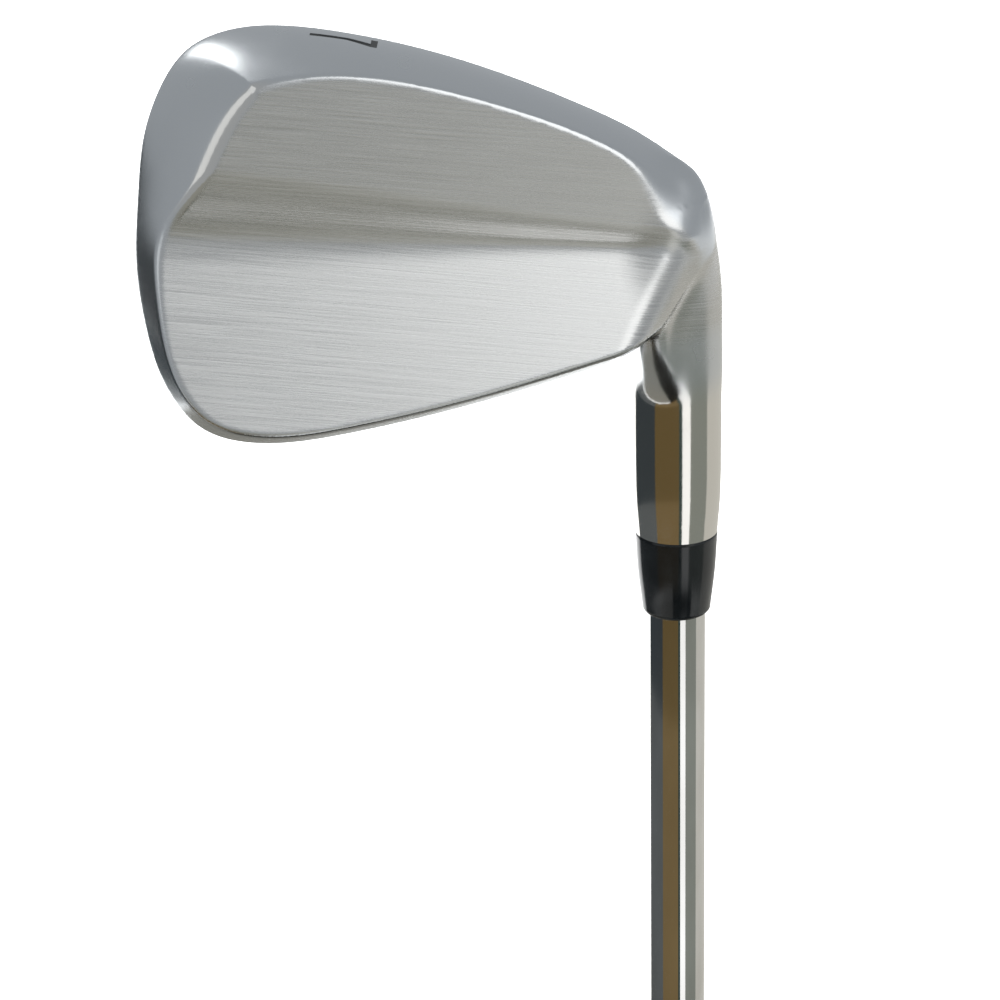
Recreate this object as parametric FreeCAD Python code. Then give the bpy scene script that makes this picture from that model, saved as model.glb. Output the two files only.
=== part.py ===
import FreeCAD, Part
import math
import os

from FreeCAD import Matrix, Vector

# Iron golf club, right-handed, mid iron, steel shaft.
# Row frame in millimetres: the origin is the middle of the butt end face, +Z runs along the shaft
# towards the head (the club stored head up), the toe is on -X and the face looks along +Y.

# ---- whole club ----
CLUB_LENGTH = 940.0        # butt end to the point where the shaft axis meets the ground
LIE_DEG = 62.5             # shaft axis to the ground, club soled
LOFT_DEG = 33.0            # face plane back from the vertical, club soled
FACE_LEAD = 4.0            # leading edge ahead of the shaft axis

# ---- head ----
BLADE_TOP = 5.0            # blade thickness at the high toe
BLADE_GROWTH = 0.016       # blade thickness gained per millimetre down the face
TOP_REACH = 70.0           # height up the face where BLADE_TOP is measured
MUSCLE_BASE = 11.1         # muscle back plane: depth = base + toe * s - drop * u
MUSCLE_TOE_GAIN = 0.141
MUSCLE_DROP = 0.271
CREASE_HEEL = (-5.0, 12.5)  # upper edge of the muscle at the heel, (towards the toe, up the face)
CREASE_TOE = (66.0, 43.5)   # and at the toe
STEP_ANGLE = 42.0          # slope of the step from muscle to blade
WALL_DEPTH = 16.0          # depth over which the sole and toe wall is laid out
WALL_BULGE = 1.9           # how far that wall is crowned at half depth, per unit of draft
LEAD_RADIUS = 1.0          # rounding of the edge round the face

# Outline of the face, from the heel along the sole, round the toe and back along the topline:
# (towards the toe, up the face, draft), where draft is how fast the wall leans in with depth.
OUTLINE = [
    (-5.0, 3.0, 1.25), (3.0, -0.9, 0.98), (14.0, -1.7, 0.78), (28.0, -0.7, 0.72), (42.0, 1.4, 0.71),
    (54.0, 4.4, 0.71), (64.0, 7.9, 0.71), (71.5, 12.0, 0.70), (76.2, 17.4, 0.72), (77.6, 25.5, 0.88),
    (76.6, 34.2, 1.02), (73.6, 42.8, 1.02), (69.7, 51.8, 0.82), (64.5, 59.8, 0.58), (57.6, 67.1, 0.35),
    (49.6, 70.6, 0.18), (42.2, 69.3, 0.12), (30.0, 62.1, 0.12), (14.0, 49.4, 0.12), (-5.0, 32.3, 0.12),
]

# ---- hosel and neck ----
HOSEL_LENGTH = 60.5        # ground to the ferrule joint, along the shaft axis
HOSEL_TOP_R = 6.65
HOSEL_LOW_R = 7.1
HEEL_CENTRE = 24.0         # where the rounded heel end of the hosel starts, above the ground
HEEL_REACH = 24.5          # how far the rounded heel end reaches down from there
HEEL_POINTS = 7
BORE_R = 4.80
# Neck between hosel and blade: (above the ground, reach of the web from the shaft axis)
NECK_SLICES = [(36.0, 6.7), (31.0, 8.6), (26.5, 14.2), (22.0, 16.2), (16.0, 13.4), (10.0, 9.4), (4.0, 5.0)]
NECK_BEARING_DEG = -114.0  # where the web points, seen along the shaft axis
NECK_HALF_WIDTH = 0.42     # half width of the web, radians round the axis
NECK_INSET = 0.4           # the rest of the slice stays this far inside the hosel
NECK_POINTS = 28

# ---- scorelines and sole number ----
SCORE_WIDTH = 0.9
SCORE_DEPTH = 0.4
SCORE_PITCH = 3.6
SCORE_FIRST = 8.5          # lowest line, up the face
SCORE_COUNT = 14
SCORE_HEEL = 12.0          # heel ends of the lines
SCORE_TOE = 60.0           # toe ends of the lines
SCORE_TOP_GAP = 4.5        # heel ends stay this far toe-side of the topline
TOPLINE_RISE = 0.81        # slope of the topline in the face plane
TOPLINE_START = 37.1       # height of the topline above the shaft axis point
NUMBER_HEEL = 50.2         # bar of the 7
NUMBER_TOE = 60.2          # foot of the 7
NUMBER_DEPTH = 0.3
NUMBER_STROKE = 1.1
NUMBER_WIDTH = 3.8         # across the sole
NUMBER_MIDDLE = 6.0        # middle of the numeral behind the leading edge, along the sole

# ---- shaft ----
SHAFT_TIP_R = 4.70
SHAFT_STEP_R = 0.2245      # radius gained at each step
SHAFT_STEPS = 13
SHAFT_STEP_PITCH = 31.75
SHAFT_STEP_RAMP = 1.0
SHAFT_FIRST_STEP = 655.0   # height of the step nearest the head
SHAFT_INSERT = 32.0        # length bonded in the hosel
WALL_TIP = 0.65
WALL_BUTT = 0.40

# ---- ferrule and tip weight ----
FERRULE_LENGTH = 14.0
FERRULE_LOW_R = 5.55
FERRULE_MID_R = 6.25
FERRULE_ROUND = 0.8
WEIGHT_STEM_R = 4.00
WEIGHT_STEM_LENGTH = 20.0
WEIGHT_FLANGE_R = 4.60
WEIGHT_FLANGE = 2.0
BORE_CLEARANCE = 0.5       # space below the weight's flange

# ---- grip ----
CAP_THICKNESS = 4.5
CAP_R = 13.4
CAP_ROUND = 1.6
VENT_R = 1.9
GRIP_LENGTH = 267.0
GRIP_BORE_R = 7.80
# Outside of the grip: (radius, height above the butt)
GRIP_PROFILE = [
    (13.4, CAP_THICKNESS), (12.75, 20.0), (11.45, 50.0), (10.55, 100.0), (9.95, 150.0), (8.7, 255.0),
]
GRIP_MOUTH_R = 9.0
GRIP_MOUTH_LENGTH = 4.0
TAPE_LENGTH = 256.0

GROUND_Z = CLUB_LENGTH
JOINT_Z = CLUB_LENGTH - HOSEL_LENGTH
TIP_Z = JOINT_Z + SHAFT_INSERT
BUTT_R = SHAFT_TIP_R + SHAFT_STEPS * SHAFT_STEP_R


def face_frame():
    """Matrix that takes (towards the toe, up the face, depth behind the face) to the row frame."""
    lie = math.radians(LIE_DEG)
    loft = math.radians(LOFT_DEG)
    toe = Vector(-math.sin(lie), 0, math.cos(lie))
    up = Vector(-math.cos(loft) * math.cos(lie), -math.sin(loft), -math.cos(loft) * math.sin(lie))
    back = toe.cross(up)
    return Matrix(toe.x, up.x, back.x, 0,
                  toe.y, up.y, back.y, FACE_LEAD,
                  toe.z, up.z, back.z, GROUND_Z,
                  0, 0, 0, 1)


def revolve(profile):
    """Solid turned about the shaft axis from a closed list of edges in the X-Z plane."""
    face = Part.Face(Part.Wire(Part.__sortEdges__(profile)))
    return face.revolve(Vector(0, 0, 0), Vector(0, 0, 1), 360)


def polyline(points):
    """Straight edges through (radius, height) points."""
    vectors = [Vector(r, 0, z) for r, z in points]
    return [Part.makeLine(a, b) for a, b in zip(vectors, vectors[1:])]


def curve(points):
    """One smooth edge through (radius, height) points."""
    spline = Part.BSplineCurve()
    spline.interpolate([Vector(r, 0, z) for r, z in points])
    return spline.toShape()


def tube(inner, outer, low, high):
    """Plain tube on the shaft axis."""
    return revolve(polyline([(inner, low), (outer, low), (outer, high), (inner, high), (inner, low)]))


# ---------------------------------------------------------------- head

def lean(index):
    """Unit vector in the face plane that points into the outline at one of its points."""
    if index == 0:
        return Vector(0, 1, 0)
    if index == len(OUTLINE) - 1:
        return Vector(0, -1, 0)
    before = OUTLINE[index - 1]
    after = OUTLINE[index + 1]
    along = Vector(after[0] - before[0], after[1] - before[1], 0)
    return Vector(-along.y, along.x, 0).normalize()


def outline_parameters():
    """Distance along the outline at each of its points, shared by every depth so that the wall stays fair."""
    places = [0.0]
    for before, after in zip(OUTLINE, OUTLINE[1:]):
        places.append(places[-1] + math.hypot(after[0] - before[0], after[1] - before[1]))
    return places


def outline_wire(depth):
    """Outline of the head at one depth behind the face."""
    part = depth / WALL_DEPTH
    reach = depth - WALL_BULGE * 4 * part * (1 - part)
    points = []
    for index, (s, u, draft) in enumerate(OUTLINE):
        points.append(Vector(s, u, depth) + lean(index) * (draft * reach))
    spline = Part.BSplineCurve()
    spline.interpolate(Points=points, Parameters=outline_parameters())
    return Part.Wire([spline.toShape(), Part.makeLine(points[-1], points[0])])


def half_space(point, normal):
    """Large block that fills the space behind a plane."""
    size = 4 * TOP_REACH
    block = Part.makeBox(size, size, size, Vector(-size / 2, -size / 2, -size))
    block.Placement = FreeCAD.Placement(point, FreeCAD.Rotation(Vector(0, 0, 1), normal))
    return block


def blade():
    """Blade and muscle of the head, in the face frame."""
    wall = Part.makeLoft([outline_wire(part * WALL_DEPTH) for part in (0, 0.5, 1)], True)
    thin = wall.common(half_space(Vector(0, TOP_REACH, BLADE_TOP), Vector(0, BLADE_GROWTH, 1)))
    muscle_plane = half_space(Vector(0, 0, MUSCLE_BASE), Vector(-MUSCLE_TOE_GAIN, MUSCLE_DROP, 1))
    along = Vector(CREASE_TOE[0] - CREASE_HEEL[0], CREASE_TOE[1] - CREASE_HEEL[1], 0).normalize()
    up = Vector(-along.y, along.x, 0)
    slope = math.radians(STEP_ANGLE)
    depth = MUSCLE_BASE + MUSCLE_TOE_GAIN * CREASE_HEEL[0] - MUSCLE_DROP * CREASE_HEEL[1]
    corner = Vector(CREASE_HEEL[0], CREASE_HEEL[1], depth)
    step_plane = half_space(corner, up * math.sin(slope) + Vector(0, 0, math.cos(slope)))
    muscle = wall.common(muscle_plane).common(step_plane)
    body = thin.fuse(muscle).removeSplitter()
    front = [edge for edge in body.Edges if edge.BoundBox.ZMax < 0.01 and edge.Length > TOP_REACH]
    return body.makeFillet(LEAD_RADIUS, front)


def hosel_radius(above_ground):
    """Radius of the rounded heel end of the hosel at one height."""
    return HOSEL_LOW_R * math.sqrt(max(0, 1 - ((HEEL_CENTRE - above_ground) / HEEL_REACH) ** 2))


def hosel():
    """Socket that tapers to the ferrule joint and ends in the rounded heel."""
    centre_z = GROUND_Z - HEEL_CENTRE
    points = []
    for number in range(HEEL_POINTS + 1):
        drop = HEEL_REACH * math.sin(math.pi / 2 * number / HEEL_POINTS)
        points.append(Vector(hosel_radius(HEEL_CENTRE - drop), 0, centre_z + drop))
    heel = Part.BSplineCurve()
    heel.interpolate(Points=points, InitialTangent=Vector(0, 0, 1), FinalTangent=Vector(-1, 0, 0))
    outside = polyline([(HOSEL_LOW_R, centre_z), (HOSEL_TOP_R, JOINT_Z), (0, JOINT_Z),
                        (0, centre_z + HEEL_REACH)])
    return revolve([heel.toShape()] + outside)


def neck_slice(above_ground, reach):
    """Closed outline round the shaft axis at one height, with a web that points at the blade."""
    points = []
    bearing = math.radians(NECK_BEARING_DEG)
    base = hosel_radius(min(HEEL_CENTRE, above_ground)) - NECK_INSET
    for number in range(NECK_POINTS):
        angle = 2 * math.pi * number / NECK_POINTS
        off = (angle - bearing + math.pi) % (2 * math.pi) - math.pi
        radius = base + max(0, reach - base) * math.exp(-(off / NECK_HALF_WIDTH) ** 2)
        points.append(Vector(radius * math.cos(angle), radius * math.sin(angle), GROUND_Z - above_ground))
    spline = Part.BSplineCurve()
    spline.interpolate(points, PeriodicFlag=True)
    return Part.Wire(spline.toShape())


def neck():
    """Web that joins the hosel, ahead of the face plane, to the heel end of the blade."""
    return Part.makeLoft([neck_slice(above_ground, reach) for above_ground, reach in NECK_SLICES], True)


def scorelines():
    """Straight grooves across the face, as the bars that cut them, in the face frame."""
    bars = []
    for number in range(SCORE_COUNT):
        height = SCORE_FIRST + number * SCORE_PITCH
        topline = (height - TOPLINE_START) / TOPLINE_RISE
        heel = max(SCORE_HEEL, topline + SCORE_TOP_GAP)
        corner = Vector(heel, height - SCORE_WIDTH / 2, -SCORE_DEPTH)
        bars.append(Part.makeBox(SCORE_TOE - heel, SCORE_WIDTH, 2 * SCORE_DEPTH, corner))
    return Part.Compound(bars)


def sole_point(body, s, across):
    """Where the sole is met on a line that runs up through it from below."""
    start = Vector(s, 0, 0) + across * NUMBER_MIDDLE
    probe = Part.makeLine(start - Vector(0, TOP_REACH, 0), start + Vector(0, TOP_REACH / 3, 0))
    return min(probe.common(body).Vertexes, key=lambda vertex: vertex.Point.y).Point


def sole_number(body):
    """Bar that engraves a plain 7 in the sole, in the face frame, with its top towards the heel."""
    wall_angle = math.radians(LOFT_DEG)
    across = Vector(0, math.sin(wall_angle), math.cos(wall_angle))
    top = sole_point(body, NUMBER_HEEL, across)
    foot = sole_point(body, NUMBER_TOE, across)
    along = foot - top
    height = along.Length
    along.normalize()
    inward = across.cross(along).normalize()
    back = NUMBER_WIDTH / 2
    stroke = NUMBER_STROKE
    numeral = [(-back, 0), (back, 0), (back, stroke), (-back / 2 + stroke, height), (-back / 2, height),
               (back - 1.4 * stroke, stroke), (-back, stroke)]
    corners = [top + across * w + along * h + inward * NUMBER_DEPTH for w, h in numeral]
    outline = Part.Face(Part.makePolygon(corners + corners[:1]))
    return outline.extrude(inward * (-4 * NUMBER_DEPTH))


def head():
    """One-piece forged head and its filled sole number, both in the row frame."""
    body = blade()
    infill = sole_number(body).common(body)
    body = body.cut(scorelines()).cut(infill)
    body.transformShape(face_frame())
    infill.transformShape(face_frame())
    body = body.fuse(hosel()).fuse(neck()).removeSplitter()
    bore_length = SHAFT_INSERT + WEIGHT_FLANGE + BORE_CLEARANCE
    body = body.cut(Part.makeCylinder(BORE_R, bore_length, Vector(0, 0, JOINT_Z)))
    return body, infill


# ---------------------------------------------------------------- shaft and fittings

def shaft():
    """Stepped steel tube, parallel at the tip and at the butt."""
    outside = [(SHAFT_TIP_R, TIP_Z)]
    inside = [(SHAFT_TIP_R - WALL_TIP, TIP_Z)]
    for step in range(SHAFT_STEPS):
        high = SHAFT_FIRST_STEP - step * SHAFT_STEP_PITCH
        low = high - SHAFT_STEP_RAMP
        radius = SHAFT_TIP_R + step * SHAFT_STEP_R
        next_radius = radius + SHAFT_STEP_R
        wall = WALL_TIP + (WALL_BUTT - WALL_TIP) * step / SHAFT_STEPS
        next_wall = WALL_TIP + (WALL_BUTT - WALL_TIP) * (step + 1) / SHAFT_STEPS
        outside += [(radius, high), (next_radius, low)]
        inside += [(radius - wall, high), (next_radius - next_wall, low)]
    outside.append((BUTT_R, CAP_THICKNESS))
    inside.append((BUTT_R - WALL_BUTT, CAP_THICKNESS))
    return revolve(polyline(outside + inside[::-1] + outside[:1]))


def epoxy():
    """Thin sleeve of adhesive between the shaft tip and the hosel bore."""
    return tube(SHAFT_TIP_R, BORE_R, JOINT_Z, TIP_Z)


def tip_weight():
    """Plug with a flange that the tip of the shaft sits on."""
    stem = Part.makeCylinder(WEIGHT_STEM_R, WEIGHT_STEM_LENGTH, Vector(0, 0, TIP_Z - WEIGHT_STEM_LENGTH))
    flange = Part.makeCylinder(WEIGHT_FLANGE_R, WEIGHT_FLANGE, Vector(0, 0, TIP_Z))
    return stem.fuse(flange).removeSplitter()


def ferrule():
    """Collar that carries the hosel's outline down to the shaft."""
    low = JOINT_Z - FERRULE_LENGTH
    side = curve([(FERRULE_LOW_R, low + FERRULE_ROUND), (FERRULE_MID_R, low + FERRULE_LENGTH / 2),
                  (HOSEL_TOP_R, JOINT_Z)])
    corner = Part.Arc(Vector(FERRULE_LOW_R - FERRULE_ROUND, 0, low),
                      Vector(FERRULE_LOW_R - FERRULE_ROUND * (1 - math.sqrt(0.5)), 0,
                             low + FERRULE_ROUND * (1 - math.sqrt(0.5))),
                      Vector(FERRULE_LOW_R, 0, low + FERRULE_ROUND)).toShape()
    inside = polyline([(HOSEL_TOP_R, JOINT_Z), (SHAFT_TIP_R, JOINT_Z), (SHAFT_TIP_R, low),
                       (FERRULE_LOW_R - FERRULE_ROUND, low)])
    return revolve([side, corner] + inside)


def grip_tape():
    """Double-sided tape wound on the butt of the shaft, under the grip."""
    return tube(BUTT_R, GRIP_BORE_R, CAP_THICKNESS, CAP_THICKNESS + TAPE_LENGTH)


def grip_sleeve():
    """Tapered rubber sleeve with a bead at its mouth."""
    mouth_low = GRIP_LENGTH - GRIP_MOUTH_LENGTH
    side = curve(GRIP_PROFILE)
    rest = polyline([GRIP_PROFILE[-1], (GRIP_MOUTH_R, mouth_low), (GRIP_MOUTH_R, GRIP_LENGTH),
                     (GRIP_BORE_R, GRIP_LENGTH), (GRIP_BORE_R, CAP_THICKNESS), GRIP_PROFILE[0]])
    return revolve([side] + rest)


def grip_cap():
    """Rubber end cap with the vent hole that lets air out when the grip is slid on."""
    disc = Part.makeCylinder(CAP_R, CAP_THICKNESS)
    rim = [edge for edge in disc.Edges if edge.BoundBox.ZMax < CAP_THICKNESS / 2]
    disc = disc.makeFillet(CAP_ROUND, rim)
    return disc.cut(Part.makeCylinder(VENT_R, CAP_THICKNESS))


def main():
    """Make every piece and write it to its own file."""
    os.makedirs("parts", exist_ok=True)
    clubhead, infill = head()
    pieces = {
        "clubhead": clubhead,
        "sole_number_infill": infill,
        "ferrule": ferrule(),
        "hosel_epoxy": epoxy(),
        "shaft": shaft(),
        "shaft_tip_weight": tip_weight(),
        "grip_tape": grip_tape(),
        "grip_sleeve": grip_sleeve(),
        "grip_cap": grip_cap(),
    }
    for name, shape in pieces.items():
        solid = shape.Solids[0] if len(shape.Solids) == 1 else shape
        solid.exportStep("parts/" + name + ".step")
        print(name, "valid", solid.isValid(), "solids", len(shape.Solids), "cm3", round(solid.Volume / 1000, 2))


main()
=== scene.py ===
import logging
import math
from dataclasses import dataclass, field
from enum import Enum
from typing import Optional, Sequence

import bmesh
import bpy
import numpy as np
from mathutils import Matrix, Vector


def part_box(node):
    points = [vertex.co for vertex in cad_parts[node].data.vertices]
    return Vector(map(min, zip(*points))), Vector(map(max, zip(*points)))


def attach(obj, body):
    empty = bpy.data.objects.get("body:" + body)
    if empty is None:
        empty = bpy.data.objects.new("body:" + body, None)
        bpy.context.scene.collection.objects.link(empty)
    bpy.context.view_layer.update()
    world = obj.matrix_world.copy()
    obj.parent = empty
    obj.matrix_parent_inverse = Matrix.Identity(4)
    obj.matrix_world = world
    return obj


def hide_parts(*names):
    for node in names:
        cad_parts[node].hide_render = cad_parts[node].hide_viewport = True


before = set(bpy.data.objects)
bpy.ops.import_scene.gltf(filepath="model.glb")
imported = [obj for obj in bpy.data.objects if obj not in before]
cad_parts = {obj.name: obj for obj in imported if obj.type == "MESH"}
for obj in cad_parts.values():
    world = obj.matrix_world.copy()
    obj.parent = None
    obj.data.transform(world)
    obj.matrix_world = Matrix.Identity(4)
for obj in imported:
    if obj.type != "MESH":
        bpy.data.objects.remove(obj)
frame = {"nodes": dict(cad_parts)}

import openvdb
from mathutils import Matrix, Vector

LOG = logging.getLogger("iron")
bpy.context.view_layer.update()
BODY = "root"
MM = 0.001
GROUND = 940.0  # height of the ground line, where the sole rests in play, in millimetres
NOISE_RANGE = (0.3, 0.7)  # values that most of a noise pattern lies between


# ------------------------------------------------------------------ sizes shared by the pieces

@dataclass(frozen=True)
class FaceFrame:
    """Axes of the club face, in millimetres: towards the toe, up the face, back behind it."""

    ground: float
    lie_deg: float = 62.5
    loft_deg: float = 33.0
    lead: float = 4.0

    @property
    def axes(self) -> np.ndarray:
        """The three unit axes as rows, in the club's own frame.

        Returns:
            The three unit axes as rows.
        """
        lie, loft = math.radians(self.lie_deg), math.radians(self.loft_deg)
        toe = np.array([-math.sin(lie), 0.0, math.cos(lie)])
        up = np.array([-math.cos(loft) * math.cos(lie), -math.sin(loft), -math.cos(loft) * math.sin(lie)])
        return np.stack([toe, up, np.cross(toe, up)])

    @property
    def origin(self) -> np.ndarray:
        """Point of the face plane at ground level, under the shaft axis."""
        return np.array([0.0, self.lead, self.ground])

    def to_club(self, points: np.ndarray) -> np.ndarray:
        """Face coordinates to the club's own frame, both in millimetres."""
        return self.origin + points @ self.axes

    def from_club(self, points: np.ndarray) -> np.ndarray:
        """The club's own frame to face coordinates, both in millimetres."""
        return (points - self.origin) @ self.axes.T


class Cut(Enum):
    """What a cutter takes out of the head."""

    SCORELINES = "scorelines"
    NUMBER = "number"
    BORE = "bore"


# ------------------------------------------------------------------ colour and node helpers

def linear(hex_colour: str) -> tuple[float, float, float, float]:
    """Turn an sRGB hex colour to linear RGBA.

    Args:
        hex_colour: Six hex digits after a hash sign.

    Returns:
        Linear red, green and blue, and an alpha of 1.
    """
    parts = [int(hex_colour[i:i + 2], 16) / 255 for i in (1, 3, 5)]
    values = [c / 12.92 if c <= 0.04045 else ((c + 0.055) / 1.055) ** 2.4 for c in parts]
    return values[0], values[1], values[2], 1.0


def add_node(tree: bpy.types.NodeTree, kind: str, inputs: Optional[dict] = None,
             **settings: object) -> bpy.types.Node:
    """Add a node with its settings and links.

    Args:
        tree: Tree that gets the node.
        kind: Node type.
        inputs: Input name or number, and either a value or an output socket to link from.
        **settings: Attributes of the node.

    Returns:
        The new node.
    """
    node = tree.nodes.new(kind)
    for name, value in settings.items():
        setattr(node, name, value)
    for key, value in (inputs or {}).items():
        socket = node.inputs[key]
        if isinstance(value, bpy.types.NodeSocket):
            tree.links.new(value, socket)
        else:
            socket.default_value = value
    return node


def new_material(name: str) -> tuple[bpy.types.Material, bpy.types.NodeTree, bpy.types.Node]:
    """Start a material with one Principled shader.

    Args:
        name: Name of the finish.

    Returns:
        The material, its empty tree with an output, and the shader node.
    """
    material = bpy.data.materials.new(name)
    material.use_nodes = True
    tree = material.node_tree
    tree.nodes.clear()
    shader = add_node(tree, "ShaderNodeBsdfPrincipled")
    add_node(tree, "ShaderNodeOutputMaterial", {"Surface": shader.outputs["BSDF"]})
    return material, tree, shader


def stretched_noise(tree: bpy.types.NodeTree, cells_mm: tuple[float, float, float], detail: float,
                    turn_deg: float = 0.0) -> bpy.types.NodeSocket:
    """Noise on object coordinates whose cells have a real size along X, Y and Z.

    Args:
        tree: Material tree.
        cells_mm: Size of one cell along each axis, in millimetres.
        detail: Octaves of finer noise.
        turn_deg: Turn of the pattern about Y, in degrees.

    Returns:
        The noise value, about 0.5 on average.
    """
    place = add_node(tree, "ShaderNodeTexCoord").outputs["Object"]
    turn = (0.0, math.radians(turn_deg), 0.0)
    turned = add_node(tree, "ShaderNodeMapping", {"Vector": place, "Rotation": turn})
    scale = tuple(1 / (size * MM) for size in cells_mm)
    sized = add_node(tree, "ShaderNodeMapping", {"Vector": turned.outputs[0], "Scale": scale})
    noise = add_node(tree, "ShaderNodeTexNoise", {"Vector": sized.outputs[0], "Scale": 1.0, "Detail": detail,
                                                  "Roughness": 0.55})
    return noise.outputs["Fac"]


def mottled(tree: bpy.types.NodeTree, pattern: bpy.types.NodeSocket, colours: tuple[str, str],
            roughness: tuple[float, float], tint: Optional[bpy.types.NodeSocket] = None,
            tint_range: tuple[float, float] = NOISE_RANGE) -> tuple:
    """Let a noise pattern move a finish between two colours and between two values of roughness.

    Args:
        tree: Material tree.
        pattern: Noise that drives the roughness, and the colour too when no tint is given.
        colours: Hex colours at the pattern's low and high end.
        roughness: Roughness at the pattern's low and high end.
        tint: Another pattern that drives the colour.
        tint_range: Values that the colour's pattern runs over.

    Returns:
        The colour and the roughness.
    """
    share = add_node(tree, "ShaderNodeMapRange", {"Value": tint or pattern, "From Min": tint_range[0],
                                                  "From Max": tint_range[1]})
    colour = add_node(tree, "ShaderNodeMix", {0: share.outputs[0], 6: linear(colours[0]),
                                              7: linear(colours[1])}, data_type="RGBA")
    rough = add_node(tree, "ShaderNodeMapRange", {"Value": pattern, "From Min": NOISE_RANGE[0],
                                                  "From Max": NOISE_RANGE[1], "To Min": roughness[0],
                                                  "To Max": roughness[1]})
    return colour.outputs[2], rough.outputs[0]


def surface(tree: bpy.types.NodeTree, shader: bpy.types.Node, colour: bpy.types.NodeSocket,
            roughness: bpy.types.NodeSocket, height: Optional[bpy.types.NodeSocket] = None,
            strength: float | bpy.types.NodeSocket = 0.0, relief_mm: float = 0.0) -> None:
    """Join a finish's colour, roughness and relief to its shader.

    Args:
        tree: Material tree.
        shader: Principled shader of the finish.
        colour: Base colour.
        roughness: Roughness.
        height: Pattern that stands proud as relief, or nothing for a smooth finish.
        strength: Share of the relief that shows.
        relief_mm: Height of the relief, in millimetres.
    """
    tree.links.new(colour, shader.inputs["Base Color"])
    tree.links.new(roughness, shader.inputs["Roughness"])
    if height is not None:
        bump = add_node(tree, "ShaderNodeBump", {"Height": height, "Strength": strength,
                                                 "Distance": relief_mm * MM})
        tree.links.new(bump.outputs["Normal"], shader.inputs["Normal"])


# ------------------------------------------------------------------ finishes

@dataclass(frozen=True)
class SatinChrome:
    """Satin chrome plate over a forged carbon-steel head, belt-brushed from heel to toe.

    The brushing gives the blade and muscle a fine grain and soft, drawn-out highlights; the sole and
    toe are finer and calmer, and the hosel and the toe rim are buffed until they mirror. The streaks
    are drawn a few times wider than real ones, because those are too fine to show.
    """

    brushed: str = "#c6c6c4"
    fine: str = "#c3c6c8"
    buffed: str = "#cfcdc8"
    streak_mm: tuple[float, float, float] = (30.0, 900.0, 0.34)
    hair_mm: tuple[float, float, float] = (11.0, 900.0, 0.16)
    cloud_mm: float = 9.0
    grain_turn_deg: float = -9.5
    line_range: tuple[float, float] = (0.7, 1.3)
    dark_line: float = 0.86
    brushed_roughness: tuple[float, float] = (0.22, 0.32)
    fine_roughness: tuple[float, float] = (0.21, 0.28)
    buffed_roughness: tuple[float, float] = (0.07, 0.12)
    anisotropy: float = 0.4
    brush_tilt: float = 0.3
    relief_mm: float = 0.006
    fine_relief: float = 0.12
    brushed_relief: float = 0.8
    buffed_relief: float = 0.03

    def build(self) -> bpy.types.Material:
        """Make the material, which reads the head's grain and buff attributes.

        Returns:
            The material.
        """
        material, tree, shader = new_material("satin_chrome_brushed")
        grain = add_node(tree, "ShaderNodeAttribute", attribute_name="grain").outputs["Fac"]
        buff = add_node(tree, "ShaderNodeAttribute", attribute_name="buff").outputs["Fac"]
        streak = stretched_noise(tree, self.streak_mm, 2.0, self.grain_turn_deg)
        hair = stretched_noise(tree, self.hair_mm, 1.0, self.grain_turn_deg)
        cloud = stretched_noise(tree, (self.cloud_mm,) * 3, 2.0)
        both = add_node(tree, "ShaderNodeMath", {0: streak, 1: hair}, operation="ADD")
        low, high = self.line_range
        lines = add_node(tree, "ShaderNodeMapRange", {"Value": both.outputs[0], "From Min": low,
                                                      "From Max": high}).outputs[0]
        plain = add_node(tree, "ShaderNodeMix", {0: grain, 6: linear(self.fine), 7: linear(self.brushed)},
                         data_type="RGBA").outputs[2]
        tone = add_node(tree, "ShaderNodeMix", {0: lines, 2: self.dark_line, 3: 1.0}).outputs[0]
        shade = add_node(tree, "ShaderNodeVectorMath", {0: plain, "Scale": tone}, operation="SCALE")
        toned = add_node(tree, "ShaderNodeMix", {0: grain, 6: plain, 7: shade.outputs[0]}, data_type="RGBA")
        colour = add_node(tree, "ShaderNodeMix", {0: buff, 6: toned.outputs[2], 7: linear(self.buffed)},
                          data_type="RGBA")
        rough = add_node(tree, "ShaderNodeMix", {0: lines, 2: self.brushed_roughness[0],
                                                 3: self.brushed_roughness[1]}).outputs[0]
        calm, mirror = (
            add_node(tree, "ShaderNodeMapRange", {"Value": cloud, "From Min": NOISE_RANGE[0],
                                                  "From Max": NOISE_RANGE[1], "To Min": low, "To Max": high})
            for low, high in (self.fine_roughness, self.buffed_roughness))
        satin = add_node(tree, "ShaderNodeMix", {0: grain, 2: calm.outputs[0], 3: rough}).outputs[0]
        roughness = add_node(tree, "ShaderNodeMix", {0: buff, 2: satin, 3: mirror.outputs[0]})
        strength = add_node(tree, "ShaderNodeMix", {0: grain, 2: self.fine_relief, 3: self.brushed_relief})
        kept = add_node(tree, "ShaderNodeMix", {0: buff, 2: strength.outputs[0], 3: self.buffed_relief})
        surface(tree, shader, colour.outputs[2], roughness.outputs[0], lines, kept.outputs[0], self.relief_mm)
        shader.inputs["Metallic"].default_value = 1.0
        shader.inputs["Anisotropic"].default_value = self.anisotropy
        across = math.radians(self.grain_turn_deg)
        brush = add_node(tree, "ShaderNodeCombineXYZ", {0: math.cos(across), 1: self.brush_tilt,
                                                        2: math.sin(across)})
        tree.links.new(brush.outputs[0], shader.inputs["Tangent"])
        return material


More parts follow.
